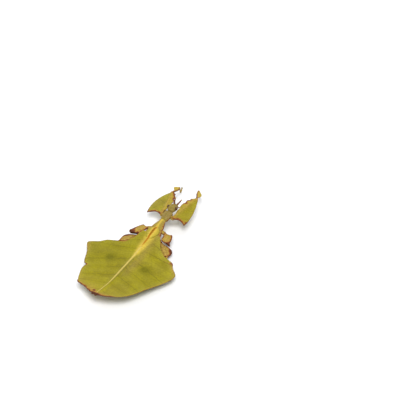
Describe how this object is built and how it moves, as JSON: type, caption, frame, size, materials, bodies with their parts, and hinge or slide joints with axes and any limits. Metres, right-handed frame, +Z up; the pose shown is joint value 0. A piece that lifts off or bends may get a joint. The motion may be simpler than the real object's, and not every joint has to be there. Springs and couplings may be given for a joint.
{
  "type": "leaf insect",
  "caption": "Leaf insect nymph with a broad leaf-shaped abdomen and lobed legs, in a still standing pose, as a life-size display model.",
  "frame": {"origin": "middle of the bounding box on the plane of the feet", "axes": "+Z up, -Y towards the head, +X the insect's left side"},
  "size_m": [0.04, 0.0804, 0.0086],
  "materials": {
    "leaf_green": "satin, yellow-olive with red-brown edges",
    "tan_cuticle": "satin tan",
    "brown_cuticle": "satin red-brown",
    "yellow_cuticle": "satin yellow",
    "eye": "glossy dark brown"
  },
  "bodies": {
    "root": {"abdomen": "leaf_green", "antenna_left": "brown_cuticle", "antenna_right": "brown_cuticle", "cercus_left": "brown_cuticle", "cercus_right": "brown_cuticle", "eye_left": "eye", "eye_right": "eye", "femur_fore_left": "leaf_green", "femur_fore_right": "leaf_green", "femur_hind_left": "leaf_green", "femur_hind_right": "leaf_green", "femur_mid_left": "leaf_green", "femur_mid_right": "leaf_green", "head": "tan_cuticle", "mesothorax": "leaf_green", "metathorax": "leaf_green", "prothorax": "tan_cuticle", "tarsus_fore_left": "brown_cuticle", "tarsus_fore_right": "brown_cuticle", "tarsus_hind_left": "brown_cuticle", "tarsus_hind_right": "brown_cuticle", "tarsus_mid_left": "brown_cuticle", "tarsus_mid_right": "brown_cuticle", "tibia_fore_left": "tan_cuticle", "tibia_fore_right": "tan_cuticle", "tibia_hind_left": "tan_cuticle", "tibia_hind_right": "tan_cuticle", "tibia_mid_left": "tan_cuticle", "tibia_mid_right": "tan_cuticle", "wing_pad_left": "yellow_cuticle", "wing_pad_right": "yellow_cuticle"}
  },
  "joints": []
}
